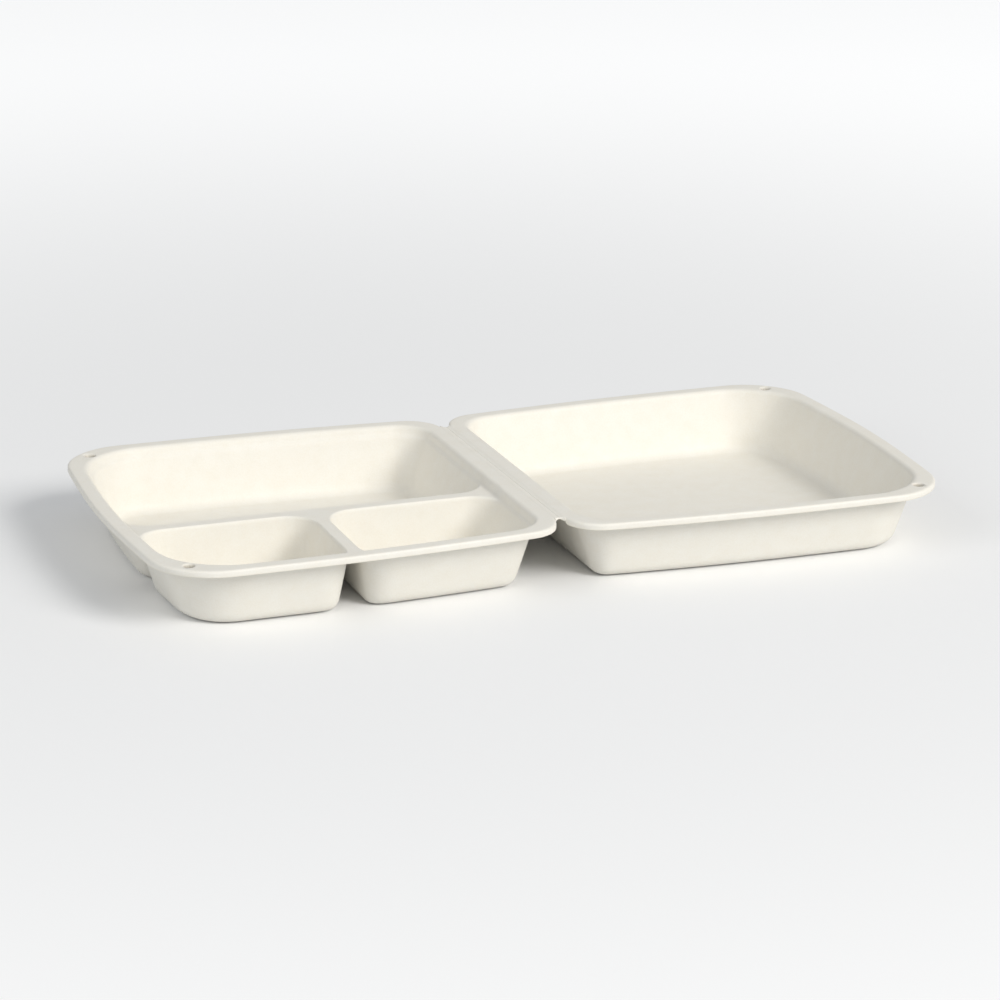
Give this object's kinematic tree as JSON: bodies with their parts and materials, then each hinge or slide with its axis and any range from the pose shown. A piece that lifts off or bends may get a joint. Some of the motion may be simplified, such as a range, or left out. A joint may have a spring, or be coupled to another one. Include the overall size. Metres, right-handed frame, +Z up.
{
  "type": "hinged food container",
  "caption": "Shallow square takeaway container lying open: a base divided into compartments and a plain domed lid joined by a moulded fold.",
  "frame": {"origin": "on the table, under the middle of the open container and its fold", "axes": "+X across the fold from the base to the lid, +Y along the fold towards the large compartment, +Z up"},
  "size_m": [0.47, 0.235, 0.038],
  "materials": {
    "foam_sheet": "matt warm ivory skin of a thin foamed sheet"
  },
  "bodies": {
    "base": {"base_tray": "foam_sheet"},
    "lid": {"lid": "foam_sheet"}
  },
  "joints": [
    {"name": "lid_fold", "type": "hinge", "parent": "base", "child": "lid", "pos_m": [0, 0, 0.0381], "axis": [0, -1, 0], "range_deg": [0, 180]}
  ]
}
